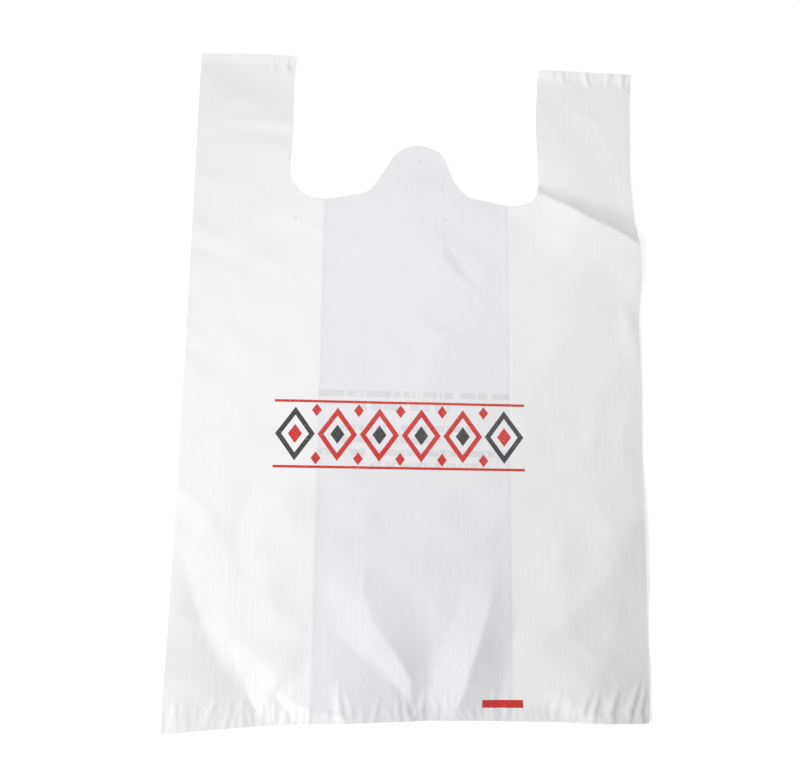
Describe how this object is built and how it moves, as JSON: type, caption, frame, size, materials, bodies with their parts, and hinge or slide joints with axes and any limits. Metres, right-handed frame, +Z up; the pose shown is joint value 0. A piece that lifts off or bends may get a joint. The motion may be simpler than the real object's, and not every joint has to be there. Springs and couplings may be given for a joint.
{
  "type": "plastic carrier bag",
  "caption": "Thin white film carrier bag lying flat: side gussets folded in, a handle loop at each side of a wide cut mouth, a centre tab, and welds along the bottom and handle tops.",
  "frame": {"origin": "middle of the bag's underside, on the surface it lies on", "axes": "+Y from the bottom weld to the handle tops, +X to the right of the printed front panel, +Z up out of the front panel"},
  "size_m": [0.32, 0.47, 0.0027],
  "materials": {
    "film": "white polyethylene film with a soft satin shine"
  },
  "bodies": {
    "root": {"carrier_bag": "film"}
  },
  "joints": []
}
